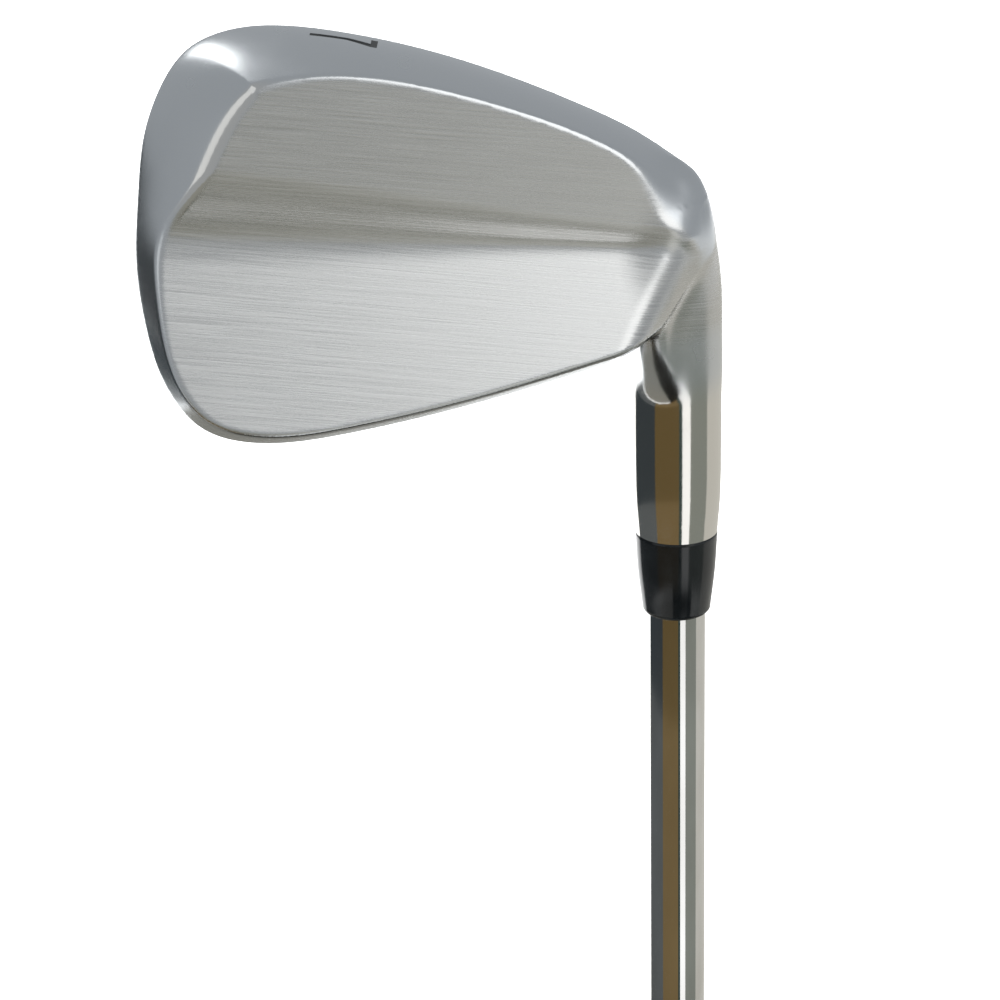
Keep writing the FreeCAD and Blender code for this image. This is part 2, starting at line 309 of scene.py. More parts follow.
@dataclass(frozen=True)
class Plated:
    """Bright chrome plate on drawn steel tube: mirror-like, with faint rings left by polishing."""

    name: str = "bright_chrome_plate"
    colours: tuple[str, str] = ("#d4d4d3", "#c4c3c0")
    roughness: tuple[float, float] = (0.03, 0.075)
    ring_mm: tuple[float, float, float] = (40.0, 40.0, 0.35)
    cloud_mm: tuple[float, float, float] = (6.0, 6.0, 22.0)
    relief_mm: float = 0.001
    relief_share: float = 0.15

    def build(self) -> bpy.types.Material:
        """Make the material.

        Returns:
            The material.
        """
        material, tree, shader = new_material(self.name)
        rings = stretched_noise(tree, self.ring_mm, 2.0)
        look = mottled(tree, stretched_noise(tree, self.cloud_mm, 3.0), self.colours, self.roughness)
        surface(tree, shader, *look, rings, self.relief_share, self.relief_mm)
        shader.inputs["Metallic"].default_value = 1.0
        return material


@dataclass(frozen=True)
class TurnedPlastic:
    """Cellulose plastic turned and wiped with solvent, or enamel run into a recess: deep gloss."""

    name: str
    colours: tuple[str, str]
    roughness: tuple[float, float]
    ring_mm: tuple[float, float, float] = (30.0, 30.0, 0.5)
    cloud_mm: float = 4.0
    relief_mm: float = 0.002
    relief_share: float = 0.2
    ior: float = 1.46

    def build(self) -> bpy.types.Material:
        """Make the material.

        Returns:
            The material.
        """
        material, tree, shader = new_material(self.name)
        rings = stretched_noise(tree, self.ring_mm, 1.0)
        cloud = stretched_noise(tree, (self.cloud_mm,) * 3, 3.0)
        look = mottled(tree, cloud, self.colours, self.roughness)
        surface(tree, shader, *look, rings, self.relief_share, self.relief_mm)
        shader.inputs["IOR"].default_value = self.ior
        return material


@dataclass(frozen=True)
class MouldedRubber:
    """Natural rubber and cork compound, compression moulded: matt, dark, slightly mottled and grainy."""

    name: str = "moulded_grip_rubber"
    colours: tuple[str, str] = ("#1b1b1c", "#2b2a29")
    roughness: tuple[float, float] = (0.58, 0.78)
    speck_mm: float = 0.45
    mottle_mm: float = 5.0
    dust_range: tuple[float, float] = (0.15, 0.4)
    relief_mm: float = 0.05
    relief_share: float = 0.7
    ior: float = 1.52

    def build(self) -> bpy.types.Material:
        """Make the material.

        Returns:
            The material.
        """
        material, tree, shader = new_material(self.name)
        speck = stretched_noise(tree, (self.speck_mm,) * 3, 2.0)
        mottle = stretched_noise(tree, (self.mottle_mm,) * 3, 3.0)
        dust = add_node(tree, "ShaderNodeMath", {0: speck, 1: mottle}, operation="MULTIPLY").outputs[0]
        look = mottled(tree, mottle, self.colours, self.roughness, dust, self.dust_range)
        surface(tree, shader, *look, speck, self.relief_share, self.relief_mm)
        shader.inputs["IOR"].default_value = self.ior
        return material


@dataclass(frozen=True)
class PlainInner:
    """Finish of a piece sealed inside the club: adhesive, tape or turned brass, with its own mottling."""

    name: str
    colours: tuple[str, str]
    roughness: tuple[float, float]
    metallic: float = 0.0
    cell_mm: float = 1.5

    def build(self) -> bpy.types.Material:
        """Make the material.

        Returns:
            The material.
        """
        material, tree, shader = new_material(self.name)
        cells = stretched_noise(tree, (self.cell_mm,) * 3, 3.0)
        surface(tree, shader, *mottled(tree, cells, self.colours, self.roughness))
        shader.inputs["Metallic"].default_value = self.metallic
        return material


# ------------------------------------------------------------------ mesh helpers

def make_piece(name: str, vertices: np.ndarray, faces: Sequence,
               material: bpy.types.Material) -> bpy.types.Object:
    """Make an object at the origin from points in metres.

    Args:
        name: Piece name.
        vertices: Points, one row each, in metres.
        faces: Vertex numbers of each face.
        material: Finish of the whole piece.

    Returns:
        The linked object, smooth shaded.
    """
    mesh = bpy.data.meshes.new(name)
    mesh.from_pydata(np.asarray(vertices).tolist(), [], [list(map(int, f)) for f in faces])
    mesh.update()
    mesh.materials.append(material)
    mesh.shade_smooth()
    made = bpy.data.objects.new(name, mesh)
    bpy.context.scene.collection.objects.link(made)
    return made


def plain_copy(made: bpy.types.Object) -> bpy.types.Object:
    """Turn the evaluated object into a plain mesh and drop its modifiers.

    Args:
        made: Object with modifiers.

    Returns:
        The same object, with a plain mesh.
    """
    graph = bpy.context.evaluated_depsgraph_get()
    mesh = bpy.data.meshes.new_from_object(made.evaluated_get(graph), depsgraph=graph)
    finish = next(material for material in mesh.materials if material)
    mesh.materials.clear()
    mesh.materials.append(finish)
    mesh.polygons.foreach_set("material_index", [0] * len(mesh.polygons))
    made.modifiers.clear()
    made.data = mesh
    return made


def lathe(profile: Sequence[tuple[float, float]], sides: int) -> tuple[np.ndarray, list]:
    """Turn a profile about the shaft axis into a closed skin.

    Args:
        profile: (radius, height) points in millimetres that close on themselves, walked so that the
            material is on the left.
        sides: Number of faces round the axis.

    Returns:
        Points in metres and the faces.
    """
    rows = len(profile)
    angles = 2 * math.pi * np.arange(sides) / sides
    points = []
    for radius, height in profile:
        ring = np.stack([radius * np.cos(angles), radius * np.sin(angles), np.full(sides, height)], 1)
        points.append(ring)
    faces = []
    for row in range(rows):
        after = (row + 1) % rows
        for side in range(sides):
            beside = (side + 1) % sides
            faces.append((row * sides + side, after * sides + side,
                          after * sides + beside, row * sides + beside))
    return np.concatenate(points) * MM, faces


def outward(made: bpy.types.Object) -> bpy.types.Object:
    """Merge doubles and turn every face outwards.

    Args:
        made: Object with a closed mesh.

    Returns:
        The same object.
    """
    mesh = bmesh.new()
    mesh.from_mesh(made.data)
    bmesh.ops.remove_doubles(mesh, verts=mesh.verts, dist=0.0005 * MM)
    bmesh.ops.recalc_face_normals(mesh, faces=mesh.faces)
    mesh.to_mesh(made.data)
    mesh.free()
    return made


def sharpen(made: bpy.types.Object, angle_deg: float) -> None:
    """Mark edges sharper than an angle so that smooth shading breaks there."""
    made.data.set_sharp_from_angle(angle=math.radians(angle_deg))


def fine_profile(points: Sequence[tuple[float, float]], step: float) -> list[tuple[float, float]]:
    """Smooth curve through (radius, height) points, sampled at an even step.

    Args:
        points: Points that the curve passes, in millimetres.
        step: Spacing of the samples, in millimetres.

    Returns:
        The samples, first and last point included.
    """
    knots = np.array(points, float)
    run = np.concatenate([[0], np.cumsum(np.linalg.norm(np.diff(knots, axis=0), axis=1))])
    slopes = np.gradient(knots, run, axis=0)
    samples = []
    for place in np.linspace(0, run[-1], max(2, int(run[-1] / step) + 1)):
        i = min(int(np.searchsorted(run, place, side="right")) - 1, len(knots) - 2)
        width = run[i + 1] - run[i]
        x = (place - run[i]) / width
        blend = (2 * x**3 - 3 * x**2 + 1, x**3 - 2 * x**2 + x, -2 * x**3 + 3 * x**2, x**3 - x**2)
        value = (blend[0] * knots[i] + blend[1] * width * slopes[i]
                 + blend[2] * knots[i + 1] + blend[3] * width * slopes[i + 1])
        samples.append((float(value[0]), float(value[1])))
    return samples


def loose_points(name: str, points: Sequence, stored: dict, material: bpy.types.Material) -> bpy.types.Object:
    """Make an object of loose points that a node tree puts a shape on.

    Args:
        name: Name of the object.
        points: The points, one row each.
        stored: Attribute names, each with one number or one vector for every point.
        material: Finish of the shapes.

    Returns:
        The linked object.
    """
    base = bpy.data.meshes.new(name)
    base.from_pydata(np.array(points).tolist(), [], [])
    base.materials.append(material)
    for key, values in stored.items():
        rows = np.array(values, np.float32)
        kind, place = ("FLOAT_VECTOR", "vector") if rows.ndim == 2 else ("FLOAT", "value")
        base.attributes.new(key, kind, "POINT").data.foreach_set(place, rows.ravel())
    made = bpy.data.objects.new(name, base)
    bpy.context.scene.collection.objects.link(made)
    return made


def start_tree(name: str, sizes: dict[str, str]) -> tuple[bpy.types.NodeTree, bpy.types.Node, dict[str, str]]:
    """Start a Geometry Nodes tree with named inputs for its sizes.

    Args:
        name: Name of the tree.
        sizes: Input names and their socket types.

    Returns:
        The tree, its input node, and the identifier of each named input.
    """
    tree = bpy.data.node_groups.new(name, "GeometryNodeTree")
    tree.interface.new_socket("Geometry", in_out="INPUT", socket_type="NodeSocketGeometry")
    keys = {label: tree.interface.new_socket(label, in_out="INPUT", socket_type=kind).identifier
            for label, kind in sizes.items()}
    tree.interface.new_socket("Geometry", in_out="OUTPUT", socket_type="NodeSocketGeometry")
    return tree, add_node(tree, "NodeGroupInput"), keys


def place_shapes(made: bpy.types.Object, tree: bpy.types.NodeTree, instances: dict, sizes: dict) -> None:
    """End a tree that puts one shape on each point, run it, and keep the result as a plain mesh.

    Args:
        made: Object of loose points.
        tree: Tree from start_tree.
        instances: Inputs of the instancing node.
        sizes: Value of each named input, by its identifier.
    """
    placed = add_node(tree, "GeometryNodeInstanceOnPoints", instances)
    real = add_node(tree, "GeometryNodeRealizeInstances", {"Geometry": placed.outputs[0]})
    dressed = add_node(tree, "GeometryNodeSetMaterial", {"Geometry": real.outputs[0],
                                                         "Material": made.data.materials[0]})
    add_node(tree, "NodeGroupOutput", {"Geometry": dressed.outputs[0]})
    shapes = made.modifiers.new(made.name, "NODES")
    shapes.node_group = tree
    for identifier, value in sizes.items():
        shapes[identifier] = value
    plain_copy(made)


class Spline:
    """Natural cubic spline through points of any dimension, over a given or a chord-length parameter."""

    def __init__(self, values: Sequence, places: Optional[Sequence] = None) -> None:
        """Work out the spline's coefficients.

        Args:
            values: Points that it passes, one row each.
            places: Parameter at each point; chord length when left out.
        """
        self.values = np.array(values, float)
        if places is None:
            steps = np.linalg.norm(np.diff(self.values[:, :2], axis=0), axis=1)
            places = np.concatenate([[0.0], np.cumsum(steps)])
        self.places = np.array(places, float)
        gap = np.diff(self.places)
        count = len(self.places)
        system, right = np.eye(count), np.zeros_like(self.values)
        slope = (np.diff(self.values, axis=0).T / gap).T
        for i in range(1, count - 1):
            system[i, i - 1:i + 2] = gap[i - 1], 2 * (gap[i - 1] + gap[i]), gap[i]
            right[i] = 6 * (slope[i] - slope[i - 1])
        self.bend = np.linalg.solve(system, right)

    def __call__(self, where: np.ndarray, order: int = 0) -> np.ndarray:
        """Value, or first or second derivative, at parameters held within the spline's own range.

        Args:
            where: Parameters.
            order: 0 for the value, 1 or 2 for a derivative.

        Returns:
            One row for each parameter.
        """
        where = np.clip(where, self.places[0], self.places[-1])
        i = np.clip(np.searchsorted(self.places, where, side="right") - 1, 0, len(self.places) - 2)
        gap = (self.places[i + 1] - self.places[i]).reshape(-1, *[1] * (self.values.ndim - 1))
        ahead = (where - self.places[i]).reshape(gap.shape)
        back = gap - ahead
        low, high, bend_low, bend_high = self.values[i], self.values[i + 1], self.bend[i], self.bend[i + 1]
        if order == 2:
            return (bend_low * back + bend_high * ahead) / gap
        if order == 1:
            return ((high - low) / gap - bend_low * (3 * back**2 - gap**2) / (6 * gap)
                    + bend_high * (3 * ahead**2 - gap**2) / (6 * gap))
        return ((low * back + high * ahead) / gap + bend_low * (back**3 - back * gap**2) / (6 * gap)
                + bend_high * (ahead**3 - ahead * gap**2) / (6 * gap))


def ramp(value: np.ndarray, low: float, high: float) -> np.ndarray:
    """Smooth step from 0 at low to 1 at high."""
    x = np.clip((value - low) / (high - low), 0, 1)
    return x * x * (3 - 2 * x)


def round_meet(a: np.ndarray, b: np.ndarray, radius: float | np.ndarray) -> np.ndarray:
    """Field of where two solids overlap, with the edge between them rounded to a radius."""
    return (np.minimum(np.maximum(a, b), -radius)
            + np.hypot(np.maximum(a + radius, 0), np.maximum(b + radius, 0)))


def soft_join(a: np.ndarray, b: np.ndarray, width: float | np.ndarray) -> np.ndarray:
    """Field of two solids together, with a concave fillet that starts a width away from their meeting."""
    near = np.maximum(width - np.abs(a - b), 0) / width
    return np.minimum(a, b) - near**3 * width / 6


@dataclass
class ClubHead:
    """One-piece forged head: thin blade, sole muscle and hosel run into each other in smooth fillets."""

    ground: float
    joint: float
    frame: FaceFrame = field(init=False)
    # Outline of the face: towards the toe, up the face, and how fast the wall behind widens outwards.
    outline: tuple = ((-5, 3, 1.25), (3, -0.9, 0.98), (14, -1.7, 0.78), (28, -0.7, 0.72), (42, 1.4, 0.71),
                      (54, 4.4, 0.71), (64, 7.9, 0.71), (71.5, 12, 0.70), (76.2, 17.4, 0.72),
                      (77.6, 25.5, 0.88), (76.6, 34.2, 1.02), (73.6, 42.8, 1.02), (69.7, 51.8, 0.82),
                      (64.5, 59.8, 0.58), (57.6, 67.1, 0.35), (49.6, 70.6, 0.18), (42.2, 69.3, 0.12),
                      (30, 62.1, 0.12), (14, 49.4, 0.12), (-5, 32.3, 0.12))
    table_cell: float = 0.8
    table_margin: float = 4.0
    wall_depth: float = 16.0
    wall_bulge: float = 1.9
    heel: float = -8.5
    heel_round: float = 6.0
    blade_top: float = 5.0
    blade_growth: float = 0.016
    top_reach: float = 70.0
    muscle_base: float = 11.1
    muscle_toe_gain: float = 0.141
    muscle_drop: float = 0.271
    crease_heel: tuple[float, float] = (-5.0, 12.5)
    crease_toe: tuple[float, float] = (66.0, 43.5)
    step_deg: float = 42.0
    step_span: tuple[float, float] = (0.0, 62.0)
    crest_round: tuple[float, float] = (0.6, 1.8)
    step_join: tuple[float, float] = (1.5, 5.0)
    lead_round: float = 1.0
    # Rounding of the rim between wall and back, and what the heel and the toe add to it where.
    rim_round: float = 0.6
    rim_heel: float = 2.0
    rim_heel_span: tuple[float, float] = (-6.0, 12.0)
    rim_heel_rise: tuple[float, float] = (9.0, 18.0)
    rim_toe: float = 0.6
    rim_toe_span: tuple[float, float] = (58.0, 68.0)
    rim_toe_rise: tuple[float, float] = (12.0, 26.0)
    rim_toe_fall: tuple[float, float] = (36.0, 50.0)
    corner_at: tuple[float, float, float] = (61.3, 17.5, 14.5)
    corner_normal: tuple[float, float, float] = (0.50, -0.40, 0.75)
    corner_round: float = 8.0
    # Hosel and web: (height above the ground along the shaft, radius or reach).
    hosel_profile: tuple = ((24, 7.1), (36, 7.2), (49, 7.2), (56, 7.0), (60.5, 6.65), (68, 6.3))
    hosel_spare: float = 3.0
    heel_centre: float = 24.0
    heel_reach: float = 24.1
    web: tuple = ((-4, -3.0), (2, 1.0), (6, 5.4), (11, 8.6), (16, 9.6), (22, 10.6), (26.5, 10.8), (31, 9.0),
                  (37, 5.0), (44, 1.0))
    web_bearing_deg: float = -114.0
    web_end: float = 50.0
    web_tip: float = 2.6
    web_inset: float = 2.0
    neck_join: tuple[float, float] = (5.0, 1.3)
    neck_span: tuple[float, float] = (32.0, 44.0)
    plate_join: float = 7.0
    voxel: float = 0.42
    low: tuple[float, float, float] = (-40.0, -5.0, -39.0)
    high: tuple[float, float, float] = (80.0, 74.0, 18.0)
    score_count: int = 14
    score_pitch: float = 3.6
    score_first: float = 8.5
    score_width: float = 0.9
    score_depth: float = 0.4
    score_heel: float = 12.0
    score_toe: float = 60.0
    score_top_gap: float = 4.5
    topline_start: float = 37.1
    topline_rise: float = 0.81
    number_ends: tuple[float, float] = (50.2, 60.2)
    number_middle: float = 6.0
    number_width: float = 3.8
    number_stroke: float = 1.1
    number_depth: float = 0.3
    number_gap: float = 0.03
    bore: float = 4.8
    bore_depth: float = 34.0
    # Where each finish fades in: fields or millimetres from none to full.
    plate_fade: tuple[float, float] = (-1.0, 3.0)
    back_fade: tuple[float, float] = (-0.4, 1.2)
    face_fade: tuple[float, float] = (-0.4, 0.8)
    rim_fade: tuple[float, float] = (0.0, 0.4)
    buffed_radius: tuple[float, float] = (0.7, 1.1)
    buffed_toe: tuple[float, float] = (30.0, 40.0)
    buffed_hosel: tuple[float, float] = (31.0, 38.0)
    rim_buff: float = 0.85
    sharp_deg: float = 62.0

    def __post_init__(self) -> None:
        """Set up the splines and the start table for distances to the outline."""
        self.frame = FaceFrame(self.ground)
        self.edge = Spline(self.outline)
        self.hosel_radius = Spline([[r] for _, r in self.hosel_profile], [k for k, _ in self.hosel_profile])
        self.web_reach = Spline([[r] for _, r in self.web], [k for k, _ in self.web])
        self.axis_start = self.frame.from_club(np.array([[0.0, 0.0, self.ground]]))[0]
        self.axis_dir = self.frame.axes @ np.array([0.0, 0.0, -1.0])
        loft = math.radians(self.frame.loft_deg)
        self.sole_across = np.array([0.0, math.sin(loft), math.cos(loft)])
        self.samples = np.linspace(0, self.edge.places[-1], 900)
        self.sampled = self.edge(self.samples)[:, :2]
        margin = self.table_margin
        across = [np.arange(self.low[i] - margin, self.high[i] + margin, self.table_cell) for i in (0, 1)]
        grid = np.stack(np.meshgrid(*across, indexing="ij"), -1).reshape(-1, 2)
        nearest = [((part[:, None, :] - self.sampled[None]) ** 2).sum(-1).argmin(1)
                   for part in np.array_split(grid, 40)]
        self.table = self.samples[np.concatenate(nearest)].reshape(len(across[0]), len(across[1]))

    def edge_distance(self, s: np.ndarray, u: np.ndarray) -> tuple[np.ndarray, np.ndarray]:
        """Signed distance to the outline in the face plane, negative inside, and the draft there.

        Args:
            s: Places towards the toe.
            u: Places up the face.

        Returns:
            The distances and the drafts.
        """
        cells = [(value - low + self.table_margin) / self.table_cell for value, low in zip((s, u), self.low)]
        i, j = (np.clip(cell.round().astype(int), 0, count - 1)
                for cell, count in zip(cells, self.table.shape))
        where = self.table[i, j].copy()
        place = np.stack([s, u], -1)
        for _ in range(5):
            off = self.edge(where)[:, :2] - place
            slope, bend = self.edge(where, 1)[:, :2], self.edge(where, 2)[:, :2]
            turn = np.maximum((slope**2).sum(1) + (off * bend).sum(1), 0.15 * (slope**2).sum(1))
            where = np.clip(where - np.clip((off * slope).sum(1) / turn, -2, 2), 0, self.samples[-1])
        foot, slope = self.edge(where), self.edge(where, 1)[:, :2]
        outward = np.stack([slope[:, 1], -slope[:, 0]], 1) / np.linalg.norm(slope, axis=1)[:, None]
        off = place - foot[:, :2]
        return (off * outward).sum(1), foot[:, 2]

    def blade_parts(self, p: np.ndarray) -> tuple[np.ndarray, np.ndarray, np.ndarray]:
        """Fields of the side wall, of the back surface, and of the radius between them.

        Args:
            p: Points in face coordinates.

        Returns:
            The two fields and the radius.
        """
        s, u, t = p.T
        plan, draft = self.edge_distance(s, u)
        part = np.clip(t, 0, self.wall_depth) / self.wall_depth
        reach = np.clip(t, 0, None) - self.wall_bulge * 4 * part * (1 - part)
        wall = (plan + draft * reach) / np.sqrt(1 + draft**2)
        blade = t - (self.blade_top + self.blade_growth * (self.top_reach - u))
        base, by_s, by_u = self.muscle_base, self.muscle_toe_gain, -self.muscle_drop
        muscle = (t - (base + by_s * s + by_u * u)) / math.sqrt(1 + by_s**2 + by_u**2)
        (s0, u0), (s1, u1) = self.crease_heel, self.crease_toe
        along = np.array([s1 - s0, u1 - u0]) / math.hypot(s1 - s0, u1 - u0)
        slope = math.radians(self.step_deg)
        depth = base + by_s * s0 + by_u * u0
        step = ((s - s0) * -along[1] + (u - u0) * along[0]) * math.sin(slope) + (t - depth) * math.cos(slope)
        crest_round, step_join = (at_heel + (at_toe - at_heel) * ramp(s, *self.step_span)
                                  for at_heel, at_toe in (self.crest_round, self.step_join))
        back = soft_join(blade, round_meet(muscle, step, crest_round), step_join)
        normal = np.array(self.corner_normal) / np.linalg.norm(self.corner_normal)
        wall = -soft_join(-wall, -(p - np.array(self.corner_at)) @ normal, self.corner_round)
        near_heel = (1 - ramp(s, *self.rim_heel_span)) * (1 - ramp(u, *self.rim_heel_rise))
        up_toe = ramp(u, *self.rim_toe_rise) * (1 - ramp(u, *self.rim_toe_fall))
        near_toe = ramp(s, *self.rim_toe_span) * up_toe
        radius = self.rim_round + self.rim_heel * near_heel + self.rim_toe * near_toe
        return wall, back, radius

    def hosel_parts(self, p: np.ndarray) -> tuple[np.ndarray, np.ndarray, np.ndarray]:
        """Fields of the socket and of its web to the blade, and the height above ground along the shaft.

        Args:
            p: Points in face coordinates.

        Returns:
            The two fields and the heights.
        """
        off = p - self.axis_start
        k = off @ self.axis_dir
        rest = off - k[:, None] * self.axis_dir
        around = rest @ self.frame.axes
        rho = np.linalg.norm(rest, axis=1)
        cone = rho - self.hosel_radius(k)[:, 0]
        heel_radius = self.hosel_profile[0][1]
        size = np.array([heel_radius, self.heel_reach])
        local = np.stack([rho, k - self.heel_centre], 1)
        k0 = np.linalg.norm(local / size, axis=1)
        k1 = np.linalg.norm(local / size**2, axis=1)
        end = k0 * (k0 - 1) / np.maximum(k1, 1e-6)
        top = self.ground - self.joint + self.hosel_spare
        socket = np.maximum(np.where(k > self.heel_centre, cone, end), k - top)
        bearing = math.radians(self.web_bearing_deg)
        turn = (np.arctan2(around[:, 1], around[:, 0]) - bearing + math.pi) % (2 * math.pi) - math.pi
        drop = np.clip((self.heel_centre - k) / self.heel_reach, 0, 0.999)
        root = heel_radius * np.sqrt(1 - drop**2) - self.web_inset
        length = np.maximum(self.web_reach(k)[:, 0] - self.web_tip, 0.01)
        taper = np.clip((root - self.web_tip) / length, -0.97, 0.97)
        side = np.sqrt(1 - taper**2)
        forward, aside = rho * np.cos(turn), np.abs(rho * np.sin(turn))
        along = forward * side - aside * taper
        flank = aside * side + forward * taper - root
        web = np.where(along > side * length, np.hypot(aside, forward - length) - self.web_tip, flank)
        web = np.where((along < 0) | (length <= np.abs(root - self.web_tip) * 1.03), rho - root, web)
        return socket, np.maximum(web, k - self.web_end), k

    def body(self, p: np.ndarray) -> np.ndarray:
        """Field of the whole head in millimetres, negative inside.

        Args:
            p: Points in face coordinates.

        Returns:
            The field at each point.
        """
        wall, back, radius = self.blade_parts(p)
        plate = round_meet(wall, back, radius)
        plate = round_meet(plate, -p[:, 2], self.lead_round)
        plate = round_meet(plate, self.heel - p[:, 0], self.heel_round)
        socket, web, k = self.hosel_parts(p)
        low_join, high_join = self.neck_join
        neck = soft_join(socket, web, low_join + (high_join - low_join) * ramp(k, *self.neck_span))
        return soft_join(plate, neck, self.plate_join)

    def slope(self, p: np.ndarray, step: float = 0.02) -> tuple[np.ndarray, np.ndarray]:
        """Field and its gradient at points.

        Args:
            p: Points in face coordinates.
            step: Spacing of the differences, in millimetres.

        Returns:
            The field and its gradient.
        """
        value = self.body(p)
        columns = [(self.body(p + step * axis) - self.body(p - step * axis)) / (2 * step)
                   for axis in np.eye(3)]
        return value, np.stack(columns, 1)

    def skin(self) -> tuple[np.ndarray, np.ndarray]:
        """Even quads over the head, their corners moved on to its surface, in face coordinates.

        Returns:
            Points in millimetres and the quads.
        """
        axes = [np.arange(self.low[i], self.high[i], self.voxel) for i in range(3)]
        stride, near_cells, far, chunks, passes = 4, 2.4, 9.0, 12, 3
        coarse = [axis[::stride] for axis in axes]
        grid = np.stack(np.meshgrid(*coarse, indexing="ij"), -1).reshape(-1, 3)
        rough = self.body(grid).reshape([len(axis) for axis in coarse])
        for direction in range(3):
            rough = np.repeat(rough, stride, direction)
        full = np.full([len(axis) for axis in axes], far)
        cut = tuple(slice(0, min(a, b)) for a, b in zip(full.shape, rough.shape))
        full[cut] = rough[cut]
        index = np.argwhere(np.abs(full) < self.voxel * stride * near_cells)
        places = np.stack([axes[i][index[:, i]] for i in range(3)], 1)
        fine = np.concatenate([self.body(part) for part in np.array_split(places, chunks)])
        full[tuple(index.T)] = fine
        volume = openvdb.FloatGrid(far)
        volume.copyFromArray(full.astype(np.float32), tolerance=0)
        corners, quads = volume.convertToQuads(isovalue=0.0)
        corners = np.asarray(corners, float) * self.voxel + np.array(self.low)
        for _ in range(passes):
            value, slope = self.slope(corners)
            corners = corners - slope * (value / np.maximum((slope**2).sum(1), 0.05))[:, None]
        return corners, np.asarray(quads)

    def sole_place(self, s: float) -> np.ndarray:
        """Point of the sole a set way behind the leading edge, in face coordinates.

        Args:
            s: Place towards the toe.

        Returns:
            The point.
        """
        point = np.array([s, 0.0, 0.0]) + self.number_middle * self.sole_across
        line = point + np.linspace(-20, 25, 900)[:, None] * np.array([0.0, 1.0, 0.0])
        first = int(np.argmax(self.body(line) < 0))
        return line[first]

    def numeral(self, gap: float, low: float, high: float) -> tuple[np.ndarray, list]:
        """Closed bar in the shape of a plain 7 across the sole, in face coordinates.

        Args:
            gap: How far its sides are drawn in.
            low: Depth of its bottom below the sole.
            high: Height of its top above the sole.

        Returns:
            Points in millimetres and faces.
        """
        across = self.sole_across
        top, foot = (self.sole_place(s) for s in self.number_ends)
        along = (foot - top) / np.linalg.norm(foot - top)
        inward = np.cross(across, along)
        inward /= np.linalg.norm(inward)
        height, half, stroke = np.linalg.norm(foot - top), self.number_width / 2, self.number_stroke
        bar, knee = stroke * 0.95, half * 0.2
        stem = [(half, bar), (knee, height * 0.45), (-half / 2 + stroke, height)]
        stem_back = [(-half / 2, height), (knee - stroke, height * 0.42), (half - 1.4 * stroke, bar)]
        corners = np.array([(-half, 0), (half, 0)] + stem + stem_back + [(-half, bar)])
        centre = corners.mean(0)
        corners = corners + (centre - corners) / np.linalg.norm(centre - corners, axis=1)[:, None] * gap
        flat = top + corners[:, :1] * across + corners[:, 1:] * along
        points = np.concatenate([flat + inward * low, flat - inward * high])
        count = len(corners)
        faces = [tuple(range(count)), tuple(range(2 * count - 1, count - 1, -1))]
        faces += [(i, i + count, (i + 1) % count + count, (i + 1) % count) for i in range(count)]
        return points, faces

    def cutter(self, kind: Cut, material: bpy.types.Material) -> bpy.types.Object:
        """Solid that takes scorelines, sole number or shaft bore out of the head.

        Args:
            kind: What it takes out.
            material: Finish that the cut faces get.

        Returns:
            The cutter.
        """
        if kind is Cut.SCORELINES:
            return self.score_bars(material)
        if kind is Cut.NUMBER:
            points, faces = self.numeral(0.0, self.number_depth, 2.0)
            made = make_piece("number_cutter", self.frame.to_club(points) * MM, faces, material)
            return outward(made)
        floor = self.joint + self.bore_depth
        wide, low = self.bore + 4, self.joint - 8
        profile = [(0.01, low), (wide, low), (wide, self.joint), (self.bore, self.joint), (self.bore, floor),
                   (0.01, floor)]
        points, faces = lathe(profile, 64)
        return outward(make_piece("bore_cutter", points, faces, material))

    def score_bars(self, material: bpy.types.Material) -> bpy.types.Object:
        """Bars that cut the face grooves, one instance each, shorter where the topline comes down.

        Args:
            material: Finish that the grooves get.

        Returns:
            The bars as one object.
        """
        middles, lengths = [], []
        for number in range(self.score_count):
            height = self.score_first + number * self.score_pitch
            topline = (height - self.topline_start) / self.topline_rise
            heel = max(self.score_heel, topline + self.score_top_gap)
            middles.append(((heel + self.score_toe) / 2, height, 0.0))
            lengths.append(self.score_toe - heel)
        made = loose_points("score_bars", middles, {"span": lengths}, material)
        tree, start, keys = start_tree("score_bars", {"Bar Width": "NodeSocketFloat",
                                                      "Bar Depth": "NodeSocketFloat"})
        section = add_node(tree, "ShaderNodeCombineXYZ", {0: 1.0, 1: start.outputs["Bar Width"],
                                                          2: start.outputs["Bar Depth"]})
        bar = add_node(tree, "GeometryNodeMeshCube", {"Size": section.outputs[0]})
        span = add_node(tree, "GeometryNodeInputNamedAttribute", {"Name": "span"}, data_type="FLOAT")
        size = add_node(tree, "ShaderNodeCombineXYZ", {0: span.outputs["Attribute"], 1: 1.0, 2: 1.0})
        place_shapes(made, tree, {"Points": start.outputs["Geometry"], "Instance": bar.outputs["Mesh"],
                                  "Scale": size.outputs[0]},
                     {keys["Bar Width"]: self.score_width, keys["Bar Depth"]: 2 * self.score_depth})
        points = np.array([v.co for v in made.data.vertices])
        moved = self.frame.to_club(points) * MM
        made.data.vertices.foreach_set("co", moved.ravel())
        return outward(made)

